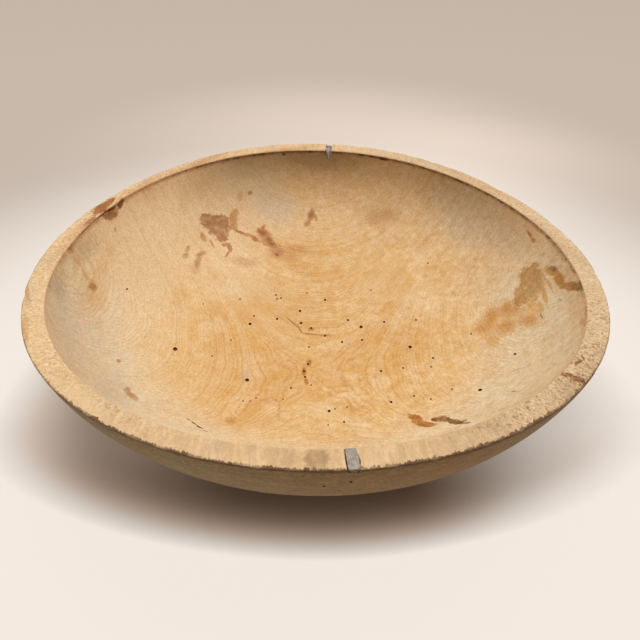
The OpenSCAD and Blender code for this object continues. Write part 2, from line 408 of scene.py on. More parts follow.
RIGHT_STAINS = (
    ("amber", 0.7, 0.22, (
        (531, 284, 13, 20, 12), (534, 268, 4.5, 6, 5), (522, 296, 9, 11, 20), (551, 270.5, 8, 5, 12),
        (559, 279.5, 5, 8.5, -20), (572, 286.5, 13, 4.8, 4), (544, 294, 3, 12, -16),
        (550, 286, 1.2, 7, -28),
    )),
    ("shade", 0.46, 0.22, (
        (531, 282, 12, 17, 12), (534, 267.5, 4, 6, 5), (521, 297, 7, 9, 20), (553, 270.5, 6.5, 4.6, 15),
        (559, 279.5, 5, 8, -20), (572, 286.5, 13, 4.6, 4),
    )),
    ("amber", 0.56, 0.5, (
        (503, 319, 26, 13, -32), (526, 314, 15, 10, -40), (493, 341, 7, 6, 0), (540, 308, 4, 8, -10),
    )),
    ("amber", 0.5, 0.9, (
        (509, 307, 10, 7, -25), (491, 316, 5, 10, 22), (482, 329, 6, 5, 0), (506, 328, 8, 6, -20),
        (531, 322, 9, 5.5, -15),
    )),
    ("shade", 0.16, 0.9, (
        (510, 307, 7, 6, -20), (490, 316, 4, 8, 10), (482, 329, 5, 4, 0), (506, 328, 6, 5, 0),
        (531, 321, 6, 5, 0),
    )),
    ("soot", 0.55, 0.4, ((577, 287.5, 8, 3.8, 8), (553, 269, 4, 2.4, 30), (581, 284, 2.5, 4, 0))),
    ("pale", 0.5, 0.45, (
        (545, 284, 1.5, 9, -25), (552, 282, 1.7, 8, -25), (539.5, 297, 1.6, 6, -14),
        (528, 313, 5, 3, -15), (525, 288, 2, 1.4, 0), (500, 321, 3, 4, 20), (515, 318, 4, 2.6, 0),
    )),
    ("amber", 0.2, 0.8, ((563, 277, 12, 12, 0), (577, 305, 8, 18, 0), (578, 345, 5, 14, 20))),
    ("rust", 0.8, 0.35, ((530, 235, 1.6, 5.5, -30), (533, 240, 2.6, 2.6, 0))),
    ("rust", 0.5, 0.4, (
        (560, 300, 2.4, 1.6, 0), (586, 312, 1.2, 9, -4), (583.5, 330, 1.1, 9, 10), (583, 322, 3, 4, 30),
    )),
    ("soot", 0.5, 0.4, ((580, 276, 1.1, 10, -26), (460, 181, 1.6, 2.6, -40))),
)
FRONT_STAINS = (
    ("rust", 0.75, 0.35, ((131, 395, 2.8, 8.5, -50), (127, 390, 3.4, 3, 0), (119, 361, 2.4, 2, 0))),
    ("rust", 0.5, 0.45, ((230, 420, 5, 3.8, 0),)),
    ("rust", 1.0, 0.12, (
        (415.5, 417.6, 7.5, 2.8, 8), (418, 421.3, 6, 4, 20), (425, 424.3, 10, 2.8, 5),
        (409.5, 415, 3, 1, 20),
    )),
    ("stain", 1.0, 0.1, (
        (436, 419.3, 5.5, 2.2, -6), (444, 419, 7, 3, 6), (455, 421.8, 9, 2.6, 5),
        (464.5, 420.3, 3, 0.9, -18), (467, 423, 4, 0.7, -5),
    )),
    ("soot", 0.62, 0.35, ((436, 420, 5, 1.6, 5), (445, 419.4, 8, 2.6, 8), (456, 422.2, 9, 2, 4))),
    ("soot", 0.3, 0.5, ((415, 416.8, 6, 1.4, 8), (421, 425.4, 7, 1.2, 5))),
    ("rust", 0.8, 0.4, ((304, 372, 2.2, 4, 0), (306, 381, 1.8, 4, -15))),
    ("ash", 0.5, 0.6, ((245, 374, 4, 6, 0), (247, 377, 3, 3, 0))),
    ("rust", 0.35, 0.4, (
        (262, 401, 9, 1.4, -25), (275, 400, 6, 1.4, 25), (279, 411, 1.6, 8, 5), (350, 405, 2, 9, -30),
    )),
)

# Marks on top of the rim, in the same way
RIM_MARKS = (
    ("rust", 0.35, 0.6, ((200, 163, 60, 5, -20), (140, 189, 28, 5, -33), (290, 149, 22, 4, -5))),
    ("stain", 1.0, 0.25, ((101, 208, 11, 5, -36), (110, 202, 6, 3, -36))),
    ("soot", 0.75, 0.3, ((121, 203, 2.6, 6, 25), (106, 212.5, 10, 1.2, -35))),
    # Rim colour laid small and strong: a painted highlight on the lip of the chip at the rear left, and a
    # thin pale streak by the rear fill
    ("rim", 0.9, 0.3, ((113.5, 205, 2.2, 1.3, -30), (348.7, 148.5, 1.1, 4, -8))),
    ("rim", 0.6, 0.7, ((80, 400, 36, 9, 36),)),
    ("stain", 0.85, 0.2, (
        (567, 374.5, 7, 2.2, 12), (578, 379, 9, 3, 22), (579, 362, 5, 1.8, -25), (583, 358, 3, 1.2, 60),
    )),
    ("soot", 0.5, 0.25, ((572, 375.5, 8, 0.9, 15), (584, 382, 5, 1.2, 25), (580, 361.5, 3, 0.9, -25))),
    ("shade", 0.64, 0.4, ((312, 458.5, 8, 13, 0), (322, 459, 8, 13, 0))),
    ("rust", 0.12, 0.6, ((317, 459, 14, 13, 0),)),
    ("shade", 0.3, 0.7, ((290, 458.5, 10, 11, 0), (569, 388, 20, 9, -42), (597, 358, 14, 7, -56))),
    ("shade", 0.22, 0.7, ((470, 434, 40, 14, -18), (270, 457, 9, 11, 0))),
    ("rust", 0.35, 0.5, ((27, 292, 2.5, 14, -8), (25, 330, 3.5, 14, 4), (86, 227, 20, 6, -38))),
    ("rust", 0.22, 0.7, ((62, 250, 8, 20, 40), (552, 238, 36, 7, 40), (480, 185, 44, 7, 24))),
    ("stain", 0.6, 0.35, ((90, 221, 9, 3, -38),)),
)


# Small tools


def only(piece):
    """Leaves that piece selected and active, and nothing else."""
    bpy.ops.object.select_all(action="DESELECT")
    piece.select_set(True)
    bpy.context.view_layer.objects.active = piece


def new_object(operator, location=(0, 0, 0), **settings):
    """Object that an operator adds there, alone selected."""
    bpy.ops.object.select_all(action="DESELECT")
    operator(location=location, **settings)
    return bpy.context.active_object


def edit(kind="VERT", action="SELECT"):
    """Into edit mode, with everything selected or nothing."""
    bpy.ops.object.mode_set(mode="EDIT")
    bpy.ops.mesh.select_mode(type=kind)
    bpy.ops.mesh.select_all(action=action)


def leave():
    """Back into object mode."""
    bpy.ops.object.mode_set(mode="OBJECT")


def pick(piece, kind, test):
    """Into edit mode, with only the vertices or faces selected for which test is true."""
    only(piece)
    edit(kind, "DESELECT")
    leave()
    elements = piece.data.vertices if kind == "VERT" else piece.data.polygons
    chosen = [element for element in elements if test(element)]
    if not chosen:
        raise RuntimeError(f"{piece.name}: nothing to select")
    for element in chosen:
        element.select = True
    bpy.ops.object.mode_set(mode="EDIT")


def move(piece, test, value):
    """Moves the vertices for which test is true."""
    pick(piece, "VERT", test)
    bpy.ops.transform.translate(value=value)
    leave()


def resize(piece, test, value, centre=(0, 0, 0)):
    """Resizes the vertices for which test is true about a centre."""
    pick(piece, "VERT", test)
    bpy.ops.transform.resize(value=value, center_override=centre)
    leave()


def modifier(piece, kind, **settings):
    """Adds a modifier with those settings and applies it."""
    only(piece)
    added = piece.modifiers.new(kind.title(), kind)
    for name, value in settings.items():
        setattr(added, name, value)
    bpy.ops.object.modifier_apply(modifier=added.name)


def carve(piece, tool, operation="DIFFERENCE"):
    """Cuts piece with tool, whose faces keep their own material, and removes the tool."""
    modifier(
        piece, "BOOLEAN", object=tool, operation=operation, solver="MANIFOLD", material_mode="TRANSFER"
    )
    bpy.data.objects.remove(tool)
    if not piece.data.polygons:
        raise RuntimeError(f"{piece.name}: nothing is left after {operation.lower()}")


def settle(piece):
    """Moves the piece's place, turn and scale into its mesh."""
    only(piece)
    bpy.ops.object.transform_apply(location=True, rotation=True, scale=True)


def copy_of(piece):
    """Copy of a piece, left active."""
    only(piece)
    bpy.ops.object.duplicate()
    return bpy.context.active_object


def weigh(piece, name, share):
    """Vertex group in which each vertex has the weight that share gives for it."""
    group = piece.vertex_groups.new(name=name)
    for vertex in piece.data.vertices:
        weight = share(vertex)
        if weight > 0:
            group.add([vertex.index], weight, "REPLACE")
    return group.name


def cloud(name, size, depth=2):
    """Soft noise for a Displace modifier."""
    noise = bpy.data.textures.new(name, "CLOUDS")
    noise.noise_scale = size
    noise.noise_depth = depth
    return noise


def ease(value, low, high):
    """0 at low, 1 at high, smooth between."""
    t = min(max((value - low) / (high - low), 0), 1)
    return t * t * (3 - 2 * t)


def turn_of(*axes):
    """Turn that lays X, Y and Z along those axes."""
    return Matrix(axes).transposed().to_euler()


def rim_radius():
    """Outer radius of the rim before the bowl dried oval."""
    return (sizes().rim_across + sizes().rim_along) / 4


def drum_radius():
    """Radius of the curve on which the rim sinks at its two sides."""
    half = sizes().rim_across / 2
    return (half**2 + sizes().rim_dip**2) / (2 * sizes().rim_dip)


def sunk(across):
    """How far the rim has sunk at that distance from the middle, across the grain."""
    half = sizes().rim_across / 2
    return drum_radius() - math.sqrt(drum_radius() ** 2 - min(abs(across), half) ** 2)


def sunk_lean():
    """How far the sunk wall leans in, as a share of how far it has sunk."""
    return LEAN_FACTOR * math.tan((sizes().outer_rim_lean + sizes().inner_rim_lean) / 2)


def below_rim(point):
    """How far a point lies below the level of the rim's outer edge."""
    return sizes().rim_height - sunk(point.x) - point.z


def camera_turn():
    """Turn of the camera: tilt and roll first, then pan."""
    return (
        Matrix.Rotation(stage().camera_pan, 3, "Z")
        @ Matrix.Rotation(stage().camera_tilt, 3, "X")
        @ Matrix.Rotation(stage().camera_roll, 3, "Z")
    )


def seen(bowl, x, y):
    """Place and normal of the bowl where the camera sees pixel x, y, or None beside the bowl."""
    focal = stage().camera_lens / SENSOR * IMAGE_SIDE
    way = camera_turn() @ Vector((x - IMAGE_SIDE / 2, IMAGE_SIDE / 2 - y, -focal))
    hit, spot, normal, _ = bowl.ray_cast(stage().camera_place, way.normalized())
    return (spot, normal) if hit else None


# Turning the bowl


def wall_radii(run, drop, top, join, foot):
    """Radii of the two smooth arcs of a wall that goes in by run and down by drop at those leans."""
    run_a, run_b = math.cos(top) - math.cos(join), math.cos(join) - math.cos(foot)
    drop_a, drop_b = math.sin(join) - math.sin(top), math.sin(foot) - math.sin(join)
    spread = run_a * drop_b - run_b * drop_a
    return (run * drop_b - drop * run_b) / spread, (drop * run_a - run * drop_a) / spread


def arc(top, radius, start, end, steps):
    """Points of a wall from top downwards, while its lean goes from start to end."""
    centre = (top[0] - radius * math.cos(start), top[1] + radius * math.sin(start))
    leans = [start + (end - start) * n / steps for n in range(steps + 1)]
    return [(centre[0] + radius * math.cos(a), centre[1] - radius * math.sin(a)) for a in leans]


def rounding(start, corner, end):
    """Points of a worn corner between start and end."""
    shares = [n / CORNER_STEPS for n in range(CORNER_STEPS + 1)]
    return [
        tuple((1 - t) ** 2 * a + 2 * t * (1 - t) * b + t**2 * c for a, b, c in zip(start, corner, end))
        for t in shares
    ]


def toward(start, end, distance):
    """Point at that distance from start on the way to end."""
    share = distance / math.dist(start, end)
    return tuple(a + (b - a) * share for a, b in zip(start, end))


def half_section(s):
    """Radius and height of the wall, from under the foot round the rim to the middle of the hollow."""
    rim_r, foot_r, height = rim_radius(), s.foot_diameter / 2, s.rim_height
    leans = (s.outer_rim_lean, s.outer_join_lean, s.foot_lean)
    radii = wall_radii(rim_r - foot_r, height, *leans)
    shoulder = arc((rim_r, height), radii[0], leans[0], leans[1], SHOULDER_STEPS)
    outer = shoulder + arc(shoulder[-1], radii[1], leans[1], leans[2], BELLY_STEPS)[1:]

    hollow_r, level = rim_r - s.rim_wall, math.pi / 2
    radii = wall_radii(hollow_r, height - s.floor_wall, s.inner_rim_lean, s.inner_join_lean, level)
    slope = math.tan(s.rim_slope)
    fall = s.rim_wall * slope / (1 - slope * math.tan(s.inner_rim_lean))
    inner_top = (hollow_r - fall * math.tan(s.inner_rim_lean), height - fall)
    lean = math.asin(math.sin(s.inner_rim_lean) + fall / radii[0])
    cove = arc(inner_top, radii[0], lean, s.inner_join_lean, COVE_STEPS)
    dish = arc(cove[-1], radii[1], s.inner_join_lean, level, DISH_STEPS)
    inner = cove + dish[1:-1] + [(0, s.floor_wall)]

    start, end = toward(outer[0], inner[0], s.outer_edge), toward(inner[0], outer[0], s.inner_edge)
    width = math.dist(start, end)
    return (
        [(foot_r * share, 0) for share in FOOT_SHARES]
        + outer[:0:-1]
        + rounding(toward(outer[0], outer[1], s.outer_edge), outer[0], start)
        + [toward(start, end, width * n / TOP_STEPS) for n in range(1, TOP_STEPS)]
        + rounding(end, inner[0], toward(inner[0], inner[1], s.inner_edge))
        + inner[1:]
    )


def turn_on_lathe(name, points, steps):
    """Closed solid of revolution about the upright."""
    piece = new_object(bpy.ops.mesh.primitive_plane_add, size=MM)
    piece.name = piece.data.name = name
    edit()
    bpy.ops.mesh.merge(type="CENTER")
    here = Vector((points[0][0], 0, points[0][1]))
    bpy.ops.transform.translate(value=here)
    for radius, height in points[1:]:
        there = Vector((radius, 0, height))
        bpy.ops.mesh.extrude_region_move(TRANSFORM_OT_translate={"value": there - here})
        here = there
    leave()
    around = {"angle": 2 * math.pi, "steps": steps, "render_steps": steps}
    modifier(piece, "SCREW", axis="Z", use_merge_vertices=True, **around)
    edit()
    bpy.ops.mesh.remove_doubles(threshold=0.01 * MM)
    bpy.ops.mesh.normals_make_consistent(inside=False)
    leave()
    return piece


def dry_out(bowl, s):
    """Shrinks the round bowl oval, and sinks its rim at the two sides, where the wall also leans in."""
    mean = (s.rim_across + s.rim_along) / 2
    resize(bowl, lambda vertex: True, (s.rim_across / mean, s.rim_along / mean, 1))

    cage = new_object(bpy.ops.object.add, (0, 0, s.rim_height / 2), type="LATTICE")
    cage.scale = (s.rim_across * CAGE_SHARE, s.rim_along * CAGE_SHARE, s.rim_height)
    bpy.context.view_layer.update()
    for axis, count in CAGE_POINTS.items():
        setattr(cage.data, f"points_{axis}", count)
        setattr(cage.data, f"interpolation_type_{axis}", "KEY_CATMULL_ROM")
    for point in cage.data.points:
        spot = cage.matrix_world @ point.co
        drop = sunk(spot.x) * max(2 * spot.z / s.rim_height - 1, 0)
        spot -= Vector((math.copysign(drop * sunk_lean(), spot.x), 0, drop))
        point.co_deform = cage.matrix_world.inverted() @ spot
    modifier(bowl, "LATTICE", object=cage)
    bpy.data.objects.remove(cage)


def wear_down(bowl, s):
    """Shallow waves in the walls, a rim worn thin at the rear left, and chips along its outer edge."""
    ovals = (s.rim_across / 2 / rim_radius(), s.rim_along / 2 / rim_radius())

    def from_edge(p):
        """How far a point lies in from the rim's outer edge."""
        return rim_radius() - sunk(p.x) * sunk_lean() - math.hypot(p.x / ovals[0], p.y / ovals[1])

    def above_foot(vertex):
        return ease(vertex.co.z, 0, WAVES_START)

    def thin_rim(vertex):
        p, normal = vertex.co, vertex.normal
        if normal.z < THIN_UP and normal.xy.dot(p.xy) > 0:
            return 0
        near = ease(abs(math.atan2(p.y, p.x) - s.thin_turn), THIN_FAR, THIN_NEAR)
        return near * ease(below_rim(p), THIN_LOW, THIN_HIGH) * ease(from_edge(p), 0, s.rim_wall)

    def outer_edge(vertex):
        return 1 - ease(max(below_rim(vertex.co), from_edge(vertex.co)), CHIPS_NEAR, CHIPS_FAR)

    walls = weigh(bowl, "walls", above_foot)
    clouds = {"texture": cloud("waves", 0.14), "texture_coords": "LOCAL"}
    modifier(bowl, "DISPLACE", strength=s.waves, vertex_group=walls, **clouds)
    thin = weigh(bowl, "thin rim", thin_rim)
    for axis, share in (("X", math.cos(s.thin_turn)), ("Y", math.sin(s.thin_turn))):
        push = {"direction": axis, "strength": s.thin_rim * share}
        modifier(bowl, "DISPLACE", mid_level=0, vertex_group=thin, **push)
    edge = weigh(bowl, "outer edge", outer_edge)
    chips = cloud("chips", 0.012, 4)
    chips.use_color_ramp = True
    for stop, position, level in zip(chips.color_ramp.elements, CHIP_LEVELS, (0, 1)):
        stop.position, stop.color = position, (level, level, level, 1)
    clouds = {"texture": chips, "texture_coords": "LOCAL"}
    modifier(bowl, "DISPLACE", strength=-s.chips, mid_level=0, vertex_group=edge, **clouds)
    bowl.vertex_groups.clear()


# Shader nodes


class NodeMaker:
    """Adds shader nodes to one tree and joins them."""

    def __init__(self, tree):
        self.tree = tree

    def feed(self, node, inputs):
        """Gives sockets of a node, by name or number, a value or a socket to join."""
        for name, value in dict(inputs).items():
            if isinstance(value, bpy.types.NodeSocket):
                self.tree.links.new(value, node.inputs[name])
            else:
                node.inputs[name].default_value = value

    def add(self, kind, inputs=(), **settings):
        """One node with those settings and inputs."""
        node = self.tree.nodes.new(f"ShaderNode{kind}")
        count = len(self.tree.nodes)
        node.location = (count % 12 * 200, -(count // 12) * 260)
        for name, value in settings.items():
            setattr(node, name, value)
        self.feed(node, inputs)
        return node

    def math(self, operation, *values, clamp=False):
        """Number from numbers."""
        return self.add("Math", enumerate(values), operation=operation, use_clamp=clamp).outputs[0]

    def vector(self, operation, *values):
        """Vector from vectors."""
        return self.add("VectorMath", enumerate(values), operation=operation).outputs[0]

    def measure(self, operation, *values):
        """Number from vectors."""
        return self.add("VectorMath", enumerate(values), operation=operation).outputs["Value"]

    def axes(self, position):
        """X, Y and Z of a position."""
        return self.add("SeparateXYZ", {0: position}).outputs

    def times(self, product, *others):
        """Product of all the values."""
        for other in others:
            product = self.math("MULTIPLY", product, other)
        return product

    def line(self, value, slope, start):
        """Value times slope, counted from start."""
        return self.math("MULTIPLY_ADD", value, slope, start)

    def nudge(self, value, noise, reach):
        """Value moved either way by a noise around a half."""
        return self.line(self.math("SUBTRACT", noise, 0.5), reach, value)

    def total(self, *terms):
        """Sum of pairs of a value around a half and its weight, counted from that half."""
        value = -sum(weight for _, weight in terms) / 2
        for term, weight in terms:
            value = self.line(term, weight, value)
        return value

    def span(self, value, low, high, to_low=0.0, to_high=1.0):
        """Value taken smoothly from the range low to high into the range to_low to to_high."""
        inputs = {"Value": value, "From Min": low, "From Max": high, "To Min": to_low, "To Max": to_high}
        return self.add("MapRange", inputs, interpolation_type="SMOOTHSTEP").outputs[0]

    def noise(self, position, scale, detail=2.0, roughness=0.5, distortion=0.0, stretch=None, turn=0):
        """Noise around a half, drawn out where stretch is under 1 and turned about the upright."""
        if stretch:
            inputs = {"Vector": position, "Scale": stretch, "Rotation": (0, 0, turn)}
            position = self.add("Mapping", inputs).outputs[0]
        inputs = {"Vector": position, "Scale": scale, "Detail": detail}
        inputs |= {"Roughness": roughness, "Distortion": distortion}
        return self.add("TexNoise", inputs).outputs[0]

    def noise_along(self, value, scale, detail):
        """Noise around a half along one number."""
        inputs = {"W": value, "Scale": scale, "Detail": detail}
        return self.add("TexNoise", inputs, noise_dimensions="1D").outputs[0]

    def lay(self, under, tint, *shares):
        """Colour under, by name or as a socket, with the named tint laid over it."""
        under = rgba(under) if isinstance(under, str) else under
        blend = "MULTIPLY" if tint in TINTS else "MIX"
        inputs = {0: self.times(*shares), 6: under, 7: rgba(tint)}
        return self.add("Mix", inputs, data_type="RGBA", blend_type=blend).outputs[2]

    def shade(self, tint, value, spread):
        """Colour made lighter or darker by a value around 0, with a spread for each channel."""
        return self.vector("MULTIPLY", tint, self.vector("MULTIPLY_ADD", value, spread, (1, 1, 1)))

    def bump(self, height, distance, strength):
        """Normal of a surface with that height."""
        inputs = {"Height": height, "Distance": distance, "Strength": strength}
        return self.add("Bump", inputs).outputs[0]

    def either(self, share, first, second):
        """Shader between the first and the second."""
        return self.add("MixShader", {0: share, 1: first, 2: second}).outputs[0]

    def group(self, name, **inputs):
        """Outputs of a shader node group, which is built when it is first asked for."""
        tree = bpy.data.node_groups.get(name) or NODE_GROUPS[name](name)
        return self.add("Group", inputs, node_tree=tree).outputs


def new_group(name, vectors, numbers, outputs):
    """Node maker, input sockets and output node of a new shader node group that puts out numbers."""
    tree = bpy.data.node_groups.new(name, "ShaderNodeTree")
    for sockets, way, kind in (
        (vectors, "INPUT", "Vector"), (numbers, "INPUT", "Float"), (outputs, "OUTPUT", "Float"),
    ):
        for socket in sockets:
            tree.interface.new_socket(socket, in_out=way, socket_type=f"NodeSocket{kind}")
    return NodeMaker(tree), tree.nodes.new("NodeGroupInput").outputs, tree.nodes.new("NodeGroupOutput")


def build_bowl_place(name):
    """Depth below the rim's outer edge, share of the way in across the rim, and radius as if round."""
    make, given, out = new_group(name, ("Position",), (), ("Depth", "Across", "Radius"))
    s = sizes()
    xyz = make.axes(given["Position"])
    drop = make.math("DIVIDE", make.times(xyz["X"], xyz["X"]), 2 * drum_radius())
    depth = make.math("SUBTRACT", make.math("SUBTRACT", s.rim_height, drop), xyz["Z"])
    round_scale = (2 * rim_radius() / s.rim_across, 2 * rim_radius() / s.rim_along, 0)
    radius = make.measure("LENGTH", make.vector("MULTIPLY", given["Position"], round_scale))
    edge = make.line(drop, -sunk_lean(), rim_radius())
    across = make.math("DIVIDE", make.math("SUBTRACT", edge, radius), s.rim_wall)
    make.feed(out, {"Depth": depth, "Across": across, "Radius": radius})
    return make.tree


def build_growth_rings(name):
    """Thin late-wood lines and the slow tone of growth rings round a pith that runs along the grain."""
    make, given, out = new_group(name, ("Position",), ("Wobble",), ("Line", "Tone"))
    xyz = make.axes(given["Position"])
    beside = make.math("SUBTRACT", xyz["X"], make.line(xyz["Y"], PITH_X_LEAN, PITH_X))
    below = make.math("SUBTRACT", xyz["Z"], make.line(xyz["Y"], PITH_Z_LEAN, PITH_Z))
    distance = make.measure("LENGTH", make.add("CombineXYZ", {0: beside, 1: below}).outputs[0])
    for scale, share in ((16, 1), (60, 0.3), (180, 0.12)):
        warp = make.noise(given["Position"], scale, stretch=(1, 0.5, 1))
        distance = make.nudge(distance, warp, make.times(given["Wobble"], share))
    rings = make.times(distance, RINGS_PER_METRE)
    rings = make.line(make.noise_along(make.times(rings, 0.37), 1, 2), 2.2, rings)
    share = make.math("FRACT", rings)
    each = make.span(make.noise_along(make.math("FLOOR", rings), 3.7, 0), 0.25, 0.75, 0.4, 1.0)
    line = make.times(make.span(share, 0.25, 0.8), make.span(share, 1.0, 0.85), each)
    make.feed(out, {"Line": line, "Tone": make.noise_along(make.times(rings, 0.3), 1, 2)})
    return make.tree


def build_fibres(name):
    """Long fibres along the grain, and short pale flecks."""
    make, given, out = new_group(name, ("Position",), (), ("Fibre", "Fleck"))
    fibre = make.noise(given["Position"], 620, 3, 0.6, stretch=(1, 0.06, 1))
    fleck = make.noise(given["Position"], 420, 2, 0.5, 0.6, stretch=(1, 0.3, 1), turn=0.5)
    make.feed(out, {"Fibre": fibre, "Fleck": make.span(fleck, 0.58, 0.74)})
    return make.tree


def build_mark(name):
    """Mask of one oval mark, with a ragged edge."""
    make, given, out = new_group(
        name, ("Position", "Place", "Turn", "Reach"), ("Ragged", "Edge"), ("Mask",)
    )
    inputs = {"Vector": "Position", "Location": "Place", "Rotation": "Turn", "Scale": "Reach"}
    inputs = {socket: given[source] for socket, source in inputs.items()}
    local = make.add("Mapping", inputs, vector_type="TEXTURE").outputs[0]
    away = make.math("ADD", make.measure("LENGTH", local), given["Ragged"])
    low, high = (make.math(operation, 1, given["Edge"]) for operation in ("ADD", "SUBTRACT"))
    make.feed(out, {"Mask": make.span(away, low, high)})
    return make.tree


NODE_GROUPS = {
    "Place on the bowl": build_bowl_place,
    "Growth rings": build_growth_rings,
    "Fibres": build_fibres,
    "Mark": build_mark,
}


def mark_frame(bowl, x, y, wide, high, turn):
    """Place, turn and reach of an oval mark that the camera sees on the bowl around pixel x, y."""
    found = seen(bowl, x, y)
    if not found:
        raise RuntimeError(f"no bowl behind pixel {x}, {y}")
    middle, normal = found
    right, down = math.cos(math.radians(turn)), math.sin(math.radians(turn))
    spans = []
    for step_x, step_y in ((right * wide, down * wide), (-down * high, right * high)):
        ends = [(side, seen(bowl, x + side * step_x, y + side * step_y)) for side in (-1, 1)]
        spans.append(min(((end[0] - middle) * side for side, end in ends if end), key=lambda s: s.length))

    # Both half axes of the oval on the image become conjugate on the wood. These are its own axes there.
    first = (spans[0] - normal * spans[0].dot(normal)).normalized()
    second = normal.cross(first)
    flat = [(span.dot(first), span.dot(second)) for span in spans]
    square_a, square_b = sum(a * a for a, _ in flat), sum(b * b for _, b in flat)
    shared = sum(a * b for a, b in flat)
    lean = math.atan2(2 * shared, square_a - square_b) / 2
    mean, spread = (square_a + square_b) / 2, math.hypot((square_a - square_b) / 2, shared)
    along = first * math.cos(lean) + second * math.sin(lean)
    longest, shortest = math.sqrt(mean + spread), math.sqrt(mean - spread)
    reach = (longest, shortest, max(longest, MARK_DEPTH))
    return middle, turn_of(along, normal.cross(along), normal), reach


def marked(make, bowl, position, ragged, base, marks, patchy=1.0):
    """Colour base with the marks laid over it."""
    for tint, strength, softness, ovals in marks:
        mask = None
        for oval in ovals:
            frame = dict(zip(("Place", "Turn", "Reach"), mark_frame(bowl, *oval)))
            mark = make.group("Mark", Position=position, Ragged=ragged, Edge=softness, **frame)["Mask"]
            mask = make.math("MAXIMUM", mask, mark) if mask else mark
        base = make.lay(base, tint, mask, strength, patchy)
    return base


def new_material(name):
    """Material with a Principled shader, its node maker, that shader, and Object coordinates."""
    material = bpy.data.materials.new(name)
    material.use_nodes = True
    make = NodeMaker(material.node_tree)
    shader = material.node_tree.nodes["Principled BSDF"]
    return material, make, shader, make.add("TexCoord").outputs["Object"]


def inside_wood(bowl, name, stains):
    """Honey-coloured bottom and paler walls, with growth rings, fibres, dirt and those stains."""
    material, make, shader, position = new_material(name)
    depth, _, radius = make.group("Place on the bowl", Position=position).values()
    rings = make.group("Growth rings", Position=position, Wobble=RING_WOBBLE)
    fibres = make.group("Fibres", Position=position)
    x, y, _ = make.axes(position).values()
    mottle = make.noise(position, 26, 4, 0.6, stretch=(1, 0.6, 1))
    blotch = make.noise(position, 55, 4, 0.6)
    cloudy = make.noise(position, 140, 2, 0.55)
    grain = make.noise(position, 480, 2, 0.6)

    # Broad tones: oiled bottom, dry walls, washed near walls, orange and pale patches
    wall = make.line(mottle, 0.06, radius)
    oiled = make.times(make.span(y, -0.02, 0.08, 0, 0.6), make.span(x, -0.1, 0.04))
    base = make.lay("honey", "pale", make.span(wall, 0.14, 0.24), make.math("SUBTRACT", 1, oiled))
    base = make.lay(base, "bleach", make.span(wall, 0.17, 0.224), make.span(y, 0.09, -0.03), 0.9)
    warm = make.span(mottle, 0.42, 0.66, 0, 0.7)
    base = make.lay(base, "glow", warm, make.span(wall, 0.23, 0.17, 0.4, 1.0))
    base = make.lay(base, "pale", make.span(blotch, 0.4, 0.66, 0, 0.6))
    base = marked(make, bowl, position, make.total((mottle, 1.6)), base, TONES)

    # Figure of the wood: growth rings, fibres, rough patches and pores
    base = make.lay(base, "pale", make.span(rings["Tone"], 0.35, 0.7, 0, 0.3))
    base = make.lay(base, "rim", fibres["Fleck"], 0.3)
    rough = make.times(make.total((cloudy, 1.3)), make.span(x, -0.1, 0.1, 0.45, 1.0))
    figure = make.math("ADD", make.total((fibres["Fibre"], 0.3), (grain, 1.5)), rough)
    ringed = make.span(wall, 0.15, 0.22, 0.48, 0.32)
    ringed = make.math("MAXIMUM", ringed, make.span(y, 0.0, 0.1, 0.0, 0.56))
    figure = make.line(make.math("SUBTRACT", 0.5, rings["Line"]), ringed, figure)
    base = make.shade(base, figure, FIGURE)
    pores = make.span(make.noise(position, 800, 1), 0.68, 0.76)
    base = make.lay(base, "rust", pores, make.span(wall, 0.22, 0.15, 0.1, 0.6))

    ragged = make.total((make.noise(position, 120, 3, 0.6), 1.0), (grain, 0.3))
    base = marked(make, bowl, position, ragged, base, stains, make.span(cloudy, 0.3, 0.65, 0.64, 1.06))

    # Painted shade high on the back wall, a darker band under the inner edge, and a thin line of shade
    # below it
    # Painted shade: the upper back wall, which faces away from the lamp, is darkened with the shade tint,
    # less so to the right
    back = make.times(make.span(y, 0.0, 0.18), make.span(x, -0.17, -0.08))
    base = make.lay(base, "shade", back, make.span(x, 0.02, 0.12, 1.0, 0.65), make.span(depth, 0.07, 0.0))
    edge = make.span(make.nudge(depth, blotch, 0.006), 0.0095, 0.0035)
    base = make.lay(base, "stain", edge, make.span(y, -0.1, 0.05, 0.2, 0.8))
    # Painted shade: a thin broken dark line a little below the inner edge at the back and right, where the
    # wall turns steep
    steep_shade = make.span(make.nudge(depth, grain, 0.002), 0.007, 0.0058)
    broken = make.span(make.noise(position, 130, 3, 0.6), 0.42, 0.64, 0.1, 0.7)
    base = make.lay(base, "soot", steep_shade, broken, make.span(make.line(x, 0.6, y), 0.02, 0.1))

    height = make.line(rings["Line"], -0.4, make.math("ADD", fibres["Fibre"], grain))
    make.feed(shader, {
        "Base Color": base,
        "Roughness": make.span(mottle, 0.3, 0.7, 0.52, 0.68),
        "Specular IOR Level": 0.3,
        "Normal": make.bump(height, 0.0004, 0.2),
    })
    return material


